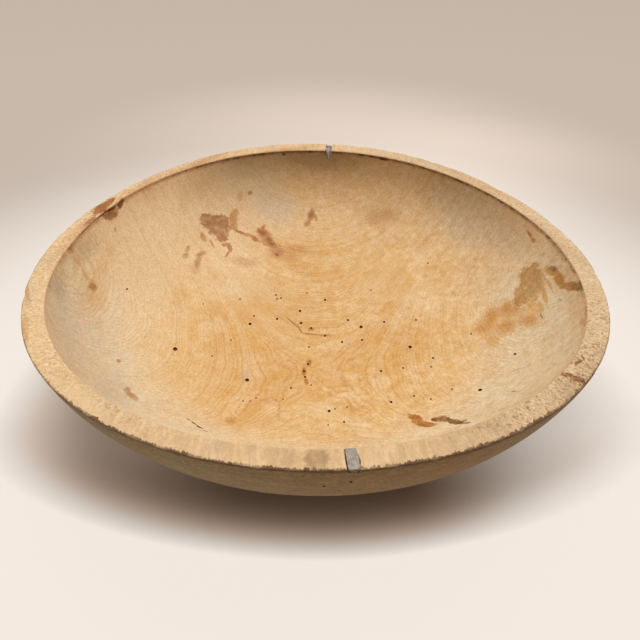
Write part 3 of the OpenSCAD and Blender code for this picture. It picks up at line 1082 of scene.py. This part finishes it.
def rim_wood(bowl):
    """Bare wood on top of the rim, streaked at its ends and crinkled on the right. Its outer edge is
    ripped and dirty, with painted shade where it rounds over.
    """
    material, make, shader, position = new_material("rim_wood")
    across = make.group("Place on the bowl", Position=position)["Across"]
    x, y, _ = make.axes(position).values()
    streak = make.noise(position, 480, 3, 0.65, stretch=(1, 0.04, 1))
    band = make.noise(position, 190, 2, 0.6, stretch=(1, 0.05, 1))
    broad = make.noise(position, 60, 2, 0.5, stretch=(1, 0.3, 1))
    splinter = make.noise(position, 420, 2, 0.7, stretch=(1, 0.12, 1))
    crinkle = make.noise(position, 520, 2, 0.6, 1.2, stretch=(1, 0.6, 1), turn=-0.6)
    patches = make.noise(position, 90, 3, 0.6)
    specks = make.noise(position, 750, 2, 0.7)
    grain = make.noise(position, 420, 2, 0.6)
    right = make.span(x, 0.02, 0.14)
    along = make.math("ABSOLUTE", y)
    ends = make.span(along, 0.13, 0.21)
    sides = make.span(along, 0.19, 0.235, 1.0, 0.25)

    # Streaks at the ends, greyed patches, grain, furrows on the right, and specks
    base = make.lay("rim", "rim_shade", make.span(streak, 0.38, 0.66, 0, 0.7), ends)
    base = make.lay(base, "shade", make.span(band, 0.48, 0.68, 0, 0.22), ends)
    base = make.lay(base, "rim_shade", make.span(patches, 0.4, 0.7, 0, 0.35))
    base = make.lay(base, "grey", right, 0.25)
    base = make.lay(base, "grey", make.span(broad, 0.5, 0.8, 0, 0.3))
    base = make.shade(base, make.times(make.total((specks, 3.0), (grain, 2.0)), sides), FIGURE)
    crinkly = make.times(right, make.span(y, -0.05, -0.13, 0.12, 1.0))
    base = make.lay(base, "stain", make.span(crinkle, 0.5, 0.32), make.span(crinkly, 0, 1, 0.08, 0.75))
    base = make.lay(base, "stain", make.span(specks, 0.6, 0.72, 0, 0.5), sides)
    ragged = make.total((grain, 1.0), (streak, 0.9))
    base = marked(make, bowl, position, ragged, base, RIM_MARKS, make.span(patches, 0.3, 0.6, 0.75, 1.05))

    # Torn outer edge, wider and darker at the front: dirt in the fibres, and painted shade where the edge
    # rounds over
    front = make.span(y, -0.15, -0.215)
    torn_and_shaded = make.line(front, -0.05, across)
    torn_and_shaded = make.line(make.total((splinter, 0.34), (specks, 0.16)), make.line(front, 0.8, 0.3), torn_and_shaded)
    torn_and_shaded = make.times(make.span(torn_and_shaded, 0.09, 0.02), make.line(front, 0.5, 0.5))
    torn_and_shaded = make.times(torn_and_shaded, make.span(patches, 0.32, 0.6, 0.45, 1.05))
    base = make.lay(base, "soot", torn_and_shaded, 0.5)
    base = make.lay(base, "dirt", torn_and_shaded, 0.75)

    height = make.line(crinkle, make.span(right, 0, 1, 0.3, 1.4), specks)
    make.feed(shader, {
        "Base Color": base,
        "Roughness": 0.7,
        "Specular IOR Level": 0.25,
        "Normal": make.bump(height, 0.0006, 0.6),
    })
    return material


def outside_wood():
    """Darkened outer wall with turning lines, and painted shade in a narrow band just under the rim."""
    material, make, shader, position = new_material("outside_wood")
    depth = make.group("Place on the bowl", Position=position)["Depth"]
    fibre = make.group("Fibres", Position=position)["Fibre"]
    mottle = make.noise(position, 40, 4, 0.65, stretch=(0.6, 0.6, 1.6))
    patches = make.noise(position, 150, 3, 0.6, stretch=(0.6, 0.6, 1.3))
    turned = make.noise_along(make.line(mottle, 0.004, depth), 420, 3)
    grain = make.noise(position, 420, 2, 0.6)
    base = make.lay("outside", "outside_warm", make.span(make.axes(position)["X"], -0.13, 0.1))
    figure = make.total((mottle, -0.3), (patches, 0.9), (turned, 0.7), (fibre, 0.8), (grain, 1.2))
    base = make.shade(base, figure, OUTSIDE_FIGURE)
    # Painted shade: a narrow band just under the rim's outer edge, laid in the dirt colour
    base = make.lay(base, "dirt", make.span(make.nudge(depth, mottle, 0.006), 0.0036, 0.001, 0, 0.7))
    make.feed(shader, {
        "Base Color": base,
        "Roughness": 0.62,
        "Specular IOR Level": 0.25,
        "Normal": make.bump(make.line(turned, 0.8, fibre), 0.0005, 0.5),
    })
    return material


def bored_wood():
    """Dark, dusty wood inside the holes and splits."""
    material, make, shader, position = new_material("bored_wood")
    base = make.lay("bore", "dirt", make.span(make.noise(position, 900), 0.4, 0.75))
    make.feed(shader, {"Base Color": base, "Roughness": 0.9})
    return material


def fill_place(end):
    """Sign of the end of the grain that a CAD fill lies at, and its turn from there."""
    low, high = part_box(FILL_NODES[end])
    middle = (low + high) / 2
    return math.copysign(1, middle.y), math.atan2(middle.x, abs(middle.y))


def fill_metal(end):
    """Dull grey fill, cast into the check, darker in patches, at its outer end and to both sides of its
    core.
    """
    name, size = f"{end}_fill", fill_sizes(end)
    material, make, shader, position = new_material(name)
    side, turn = fill_place(end)
    beside = make.measure("DOT_PRODUCT", position, (math.cos(turn), -side * math.sin(turn), 0))
    beside = make.math("ABSOLUTE", make.math("ADD", beside, size.core_shift))
    lumps = make.noise(position, 420, 3, 0.6)
    film = make.noise(position, 180, 3, 0.6)
    across = make.group("Place on the bowl", Position=position)["Across"]
    base = make.vector("MULTIPLY", rgba(name)[:3], make.span(lumps, 0.3, 0.7, 0.72, 1.12))
    dark = make.span(beside, size.core_half, size.core_half + size.core_edge, 0, 0.5)
    base = make.lay(base, "dirt", dark)
    base = make.lay(base, "rim_shade", make.span(film, 0.55, 0.8, 0, 0.5))
    base = make.lay(base, "dirt", make.span(across, 0.1, 0.02, 0, 0.75))
    make.feed(shader, {
        "Base Color": base,
        "Roughness": make.span(film, 0.3, 0.7, 0.45, 0.7),
        "Metallic": 0.2,
        "Normal": make.bump(lumps, 0.0006, 0.8),
    })
    return material


def floor_paper():
    """Pale floor. Around the bowl's own shadow the camera sees it as a lit backdrop."""
    material, make, shader, position = new_material("floor")
    light = make.add("LightPath").outputs
    shown = make.math("MAXIMUM", light["Is Camera Ray"], light["Is Glossy Ray"])
    x, y, _ = make.axes(position).values()

    # How far out of the shadow, and how clear of it
    wide = make.math("DIVIDE", make.math("SUBTRACT", x, SHADOW_MIDDLE), SHADOW_HALF_WIDTH)
    beyond = make.math("SUBTRACT", make.math("ABSOLUTE", y), SHADOW_STRAIGHT)
    deep = make.math("DIVIDE", make.math("MAXIMUM", beyond, 0), SHADOW_END)
    wide = make.math("POWER", make.math("ABSOLUTE", wide), SHADOW_SQUARE)
    deep = make.math("POWER", deep, SHADOW_SQUARE)
    away = make.math("POWER", make.math("ADD", wide, deep), 1 / SHADOW_SQUARE)
    near = make.math("DIVIDE", make.math("SUBTRACT", away, SHADOW_START), SHADOW_SPREAD, clamp=True)
    lit = make.span(x, -0.05, -0.2, 0.01, 0.13)
    lit = make.math("MAXIMUM", lit, make.span(x, 0.06, 0.2, 0.01, 0.38))
    clear = make.line(make.math("POWER", near, 3.3), make.math("SUBTRACT", 0.95, lit), lit)
    under = make.times(make.span(away, 0.85, 0.7), make.span(y, -0.11, -0.17))
    make.feed(shader, {
        "Base Color": make.lay("floor", "floor_shade", under, shown),
        "Roughness": 0.9,
        "Specular IOR Level": 0.1,
    })

    # What the camera sees around the shadow
    distance = make.measure("LENGTH", position)
    behind = make.measure("DISTANCE", position, LIT_BEHIND)
    beside = make.measure("DISTANCE", position, LIT_BESIDE)
    level = make.span(distance, 0.7, 0.3, 0.61, 0.98)
    for away, reach, rise in ((behind, 0.7, 0.22), (beside, 0.4, 0.13)):
        level = make.math("ADD", level, make.span(away, reach, 0, 0, rise))
    tint = make.lay("backdrop", "backdrop_far", make.span(distance, 0.3, 0.8))
    tint = make.lay(tint, "shadow", make.span(clear, 0.6, 0.2), make.span(x, 0.18, 0.06))
    glow = make.add("Emission", {"Color": tint, "Strength": level}).outputs[0]
    both = make.either(make.times(clear, shown), shader.outputs[0], glow)
    make.feed(material.node_tree.nodes["Material Output"], {"Surface": both})
    return material


# Cutting tools for the wear


def worm_hole_tool(bore):
    """One worm hole of unit width, as a slightly crooked tapered pin."""
    cone = {"vertices": 12, "radius1": 0.46, "radius2": 0.64, "depth": 4}
    tool = new_object(bpy.ops.mesh.primitive_cone_add, **cone)
    resize(tool, lambda v: v.co.z > 0, (1, 0.88, 1))
    move(tool, lambda v: v.co.z > 0, (0.06, 0, 0))
    tool.data.materials.append(bore)
    return tool


def split_tool(bore):
    """One split of unit length, as a long thin lens."""
    tool = new_object(bpy.ops.mesh.primitive_cube_add, size=1)
    edit()
    bpy.ops.mesh.subdivide(number_cuts=3)
    leave()
    for side, width in ((0.5, 0.15), (0.25, 0.7)):
        resize(tool, lambda v: abs(abs(v.co.x) - side) < 0.01, (1, width, 1))
    move(tool, lambda v: v.co.x > 0.2 or v.co.x < -0.4, (0, 0.35, 0))
    tool.data.materials.append(bore)
    return tool


def pierce(bowl, bore):
    """Cuts the worm holes and the splits."""
    tools = []
    pin = worm_hole_tool(bore)
    for x, y, width in WORM_HOLES:
        middle, normal = seen(bowl, x, y)
        along = normal.cross(Vector((1, 0, 0))).normalized()
        tool = copy_of(pin)
        tool.location = middle
        tool.rotation_euler = turn_of(along.cross(normal), along, normal)
        tool.scale = (*(width * share * MM for share in HOLE_SCALE), HOLE_DEPTH)
        tools.append(tool)
    lens = split_tool(bore)
    for x0, y0, x1, y1, width in SPLITS:
        start, end = seen(bowl, x0, y0)[0], seen(bowl, x1, y1)[0]
        _, normal = seen(bowl, (x0 + x1) / 2, (y0 + y1) / 2)
        along = (end - start).normalized()
        across = normal.cross(along).normalized()
        tool = copy_of(lens)
        tool.location = (start + end) / 2
        tool.rotation_euler = turn_of(along, across, along.cross(across))
        tool.scale = ((end - start).length, width * MM, SPLIT_DEPTH)
        tools.append(tool)
    for spare in (pin, lens):
        bpy.data.objects.remove(spare)
    only(tools[0])
    for tool in tools:
        tool.select_set(True)
    bpy.ops.object.join()
    settle(tools[0])
    carve(bowl, tools[0])


def fill_bar(end):
    """Lumpy tapered bar across the rim where the CAD fill lies, as the fill is before it is trimmed."""
    name, s, size = f"{end}_fill", sizes(), fill_sizes(end)
    side, turn = fill_place(end)
    height = size.depth - size.recess
    bar = new_object(bpy.ops.mesh.primitive_cube_add, size=1, scale=(size.width, BAR_LENGTH, height))
    bar.name = bar.data.name = name
    settle(bar)
    edit()
    bpy.ops.mesh.subdivide(number_cuts=BAR_CUTS)
    leave()
    resize(bar, lambda v: v.co.z < 0, (size.foot_width / size.width, 1, 1))
    if size.lobe:
        side_x = size.width * LOBE_SIDE
        move(bar, lambda v: v.co.x > side_x and LOBE_FROM < v.co.y < LOBE_TO, (size.lobe, 0, 0))
    worn = (1, 1, size.end_height / height)
    resize(bar, lambda v: side * v.co.y > THIN_END, worn, (0, 0, height / 2))
    move(bar, lambda v: side * v.co.y > LOW_END, (0, 0, -size.end_drop))
    modifier(bar, "BEVEL", width=BAR_EDGE, segments=2, limit_method="ANGLE")
    lumps = {"texture": cloud(f"{name} lumps", BAR_LUMP_SIZE), "texture_coords": "LOCAL"}
    modifier(bar, "DISPLACE", strength=BAR_LUMPS, **lumps)
    modifier(bar, "SUBSURF", levels=1, render_levels=1)
    reach = rim_radius() - s.rim_wall / 2
    bar.location = (
        reach * math.sin(turn),
        side * reach * math.cos(turn) * s.rim_along / 2 / rim_radius(),
        s.rim_height - s.rim_wall / 2 * math.tan(s.rim_slope) - (size.depth + size.recess) / 2,
    )
    bar.rotation_euler = (side * s.rim_slope, 0, -side * turn)
    settle(bar)
    return bar


def set_fill(bowl, end):
    """Casts one fill and trims it to the wall. Gives the tool for its notch, with a gap round the fill."""
    node, slot, size = FILL_NODES[end], f"{end}_fill", fill_sizes(end)
    fill = fill_bar(end)
    notch = copy_of(fill)
    modifier(notch, "DISPLACE", strength=size.gap, mid_level=0)
    pick(notch, "FACE", lambda f: f.normal.z > FILL_UP)
    bpy.ops.mesh.extrude_region_move(TRANSFORM_OT_translate={"value": (0, 0, NOTCH_HEIGHT)})
    leave()
    move(notch, lambda v: True, (-size.shift, 0, 0))
    carve(fill, copy_of(bowl), "INTERSECT")
    fill.data.materials.clear()
    fill.data.materials.append(fill_metal(end))
    only(fill)
    bpy.ops.object.shade_smooth_by_angle(angle=FILL_CREASE)
    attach(fill, "root")
    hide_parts(node)
    return notch


# Faces of the bowl that take each wood


def in_back(face):
    return face.center.x < RIGHT_BORDER and face.center.y > FRONT_BORDER


def in_left(face):
    return face.center.x < LEFT_BORDER and face.center.y > FRONT_BORDER


def in_right(face):
    return face.center.x >= RIGHT_BORDER and face.center.y > RIGHT_FRONT_BORDER


def on_rim(face):
    return face.normal.z > RIM_UP and below_rim(face.center) < RIM_DEPTH


def on_outside(face):
    return not on_rim(face) and face.normal.dot(Vector((*face.center.xy, -OUTSIDE_DROP))) > 0


class DOUGH_BOWL_OT_bowl(bpy.types.Operator):
    """Turn the bowl, dry it oval and wear it down"""

    bl_idname = "dough_bowl.bowl"
    bl_label = "Bowl"
    bl_options = {"REGISTER", "UNDO"}

    def execute(self, context):
        s = sizes()
        bowl = turn_on_lathe("dough_bowl", half_section(s), s.turns)
        dry_out(bowl, s)
        wear_down(bowl, s)
        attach(bowl, "root")
        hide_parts("bowl_body")
        return {"FINISHED"}


class DOUGH_BOWL_OT_finish_wood(bpy.types.Operator):
    """Give the inside, the rim and the outside of the bowl their own wood"""

    bl_idname = "dough_bowl.finish_wood"
    bl_label = "Wood"
    bl_options = {"REGISTER", "UNDO"}

    def execute(self, context):
        bowl = bpy.data.objects["dough_bowl"]
        # The first wood lies wherever no other does, and the last only where a tool has cut
        woods = (
            (inside_wood(bowl, "front_inside_wood", FRONT_STAINS), None),
            (inside_wood(bowl, "back_inside_wood", BACK_STAINS), in_back),
            (inside_wood(bowl, "left_inside_wood", LEFT_STAINS), in_left),
            (inside_wood(bowl, "right_inside_wood", RIGHT_STAINS), in_right),
            (rim_wood(bowl), on_rim),
            (outside_wood(), on_outside),
            (bored_wood(), None),
        )
        for material, _ in woods:
            bowl.data.materials.append(material)
        for slot, (_, test) in enumerate(woods):
            if test:
                pick(bowl, "FACE", test)
                bowl.active_material_index = slot
                bpy.ops.object.material_slot_assign()
                leave()
        return {"FINISHED"}


class DOUGH_BOWL_OT_fills(bpy.types.Operator):
    bl_idname = "dough_bowl.fills"
    bl_label = "Rim fills"
    bl_options = {"REGISTER", "UNDO"}

    def execute(self, context):
        bowl = bpy.data.objects["dough_bowl"]
        notches = [set_fill(bowl, end) for end in FILL_NODES]
        for notch in notches:
            notch.data.materials.clear()
            notch.data.materials.append(bowl.data.materials["bored_wood"])
            carve(bowl, notch)
        return {"FINISHED"}


class DOUGH_BOWL_OT_wear(bpy.types.Operator):
    """Cut the worm holes and splits into the bowl"""

    bl_idname = "dough_bowl.wear"
    bl_label = "Worm holes and splits"
    bl_options = {"REGISTER", "UNDO"}

    def execute(self, context):
        bowl = bpy.data.objects["dough_bowl"]
        pierce(bowl, bowl.data.materials["bored_wood"])
        only(bowl)
        bpy.ops.object.shade_smooth_by_angle(angle=WOOD_CREASE)
        return {"FINISHED"}


class DOUGH_BOWL_OT_stage(bpy.types.Operator):
    """Set up the floor, the lamp, the room and the camera"""

    bl_idname = "dough_bowl.stage"
    bl_label = "Stage"
    bl_options = {"REGISTER", "UNDO"}

    def execute(self, context):
        t = stage()
        floor = new_object(bpy.ops.mesh.primitive_plane_add, size=t.floor_side)
        floor.name = "floor"
        floor.data.materials.append(floor_paper())

        lamp = new_object(bpy.ops.object.light_add, t.lamp_place, type="AREA")
        lamp.data.shape = "RECTANGLE"
        lamp.data.size, lamp.data.size_y = t.lamp_width, t.lamp_depth
        lamp.data.energy = t.lamp_power
        lamp.rotation_euler = (-lamp.location).to_track_quat("-Z", "Y").to_euler()

        world = bpy.data.worlds.new("room")
        world.use_nodes = True
        make = NodeMaker(world.node_tree)
        around = world.node_tree.nodes["Background"]
        make.feed(around, {"Color": (1, 1, 1, 1), "Strength": t.ambient})
        wall = make.add("Background", {"Color": rgba("backdrop_far"), "Strength": t.backdrop})
        shown = make.add("LightPath").outputs["Is Camera Ray"]
        both = make.either(shown, around.outputs[0], wall.outputs[0])
        make.feed(world.node_tree.nodes["World Output"], {"Surface": both})
        context.scene.world = world

        turn = camera_turn().to_euler()
        camera = new_object(bpy.ops.object.camera_add, t.camera_place, rotation=turn)
        camera.data.lens = t.camera_lens
        camera.data.sensor_width = SENSOR
        context.scene.camera = camera
        context.scene.view_settings.view_transform = "Standard"
        return {"FINISHED"}


class DOUGH_BOWL_PT_panel(bpy.types.Panel):
    """Sizes, colours and steps of the dough bowl"""

    bl_idname = "DOUGH_BOWL_PT_panel"
    bl_label = "Dough Bowl"
    bl_space_type = "VIEW_3D"
    bl_region_type = "UI"
    bl_category = "Dough Bowl"

    def draw(self, context):
        for name, group in GROUPS.items():
            box = self.layout.box()
            for value in group.__annotations__:
                box.prop(getattr(context.scene, name), value)
        for operator in OPERATORS:
            self.layout.operator(operator.bl_idname)


GROUPS = {
    "dough_bowl_sizes": DoughBowlSizes,
    "dough_bowl_fills": DoughBowlFills,
    "dough_bowl_colours": DoughBowlColours,
    "dough_bowl_stage": DoughBowlStage,
}
OPERATORS = (
    DOUGH_BOWL_OT_bowl,
    DOUGH_BOWL_OT_finish_wood,
    DOUGH_BOWL_OT_fills,
    DOUGH_BOWL_OT_wear,
    DOUGH_BOWL_OT_stage,
)


def register():
    for cls in (*GROUPS.values(), *OPERATORS, DOUGH_BOWL_PT_panel):
        bpy.utils.register_class(cls)
    for name, group in GROUPS.items():
        setattr(bpy.types.Scene, name, PointerProperty(type=group))


def unregister():
    for name in GROUPS:
        delattr(bpy.types.Scene, name)
    for cls in (DOUGH_BOWL_PT_panel, *reversed(OPERATORS), *reversed(GROUPS.values())):
        bpy.utils.unregister_class(cls)


def main():
    register()
    bpy.ops.dough_bowl.bowl()
    bpy.ops.dough_bowl.finish_wood()
    bpy.ops.dough_bowl.fills()
    bpy.ops.dough_bowl.wear()
    bpy.ops.dough_bowl.stage()


if __name__ == "__main__":
    main()
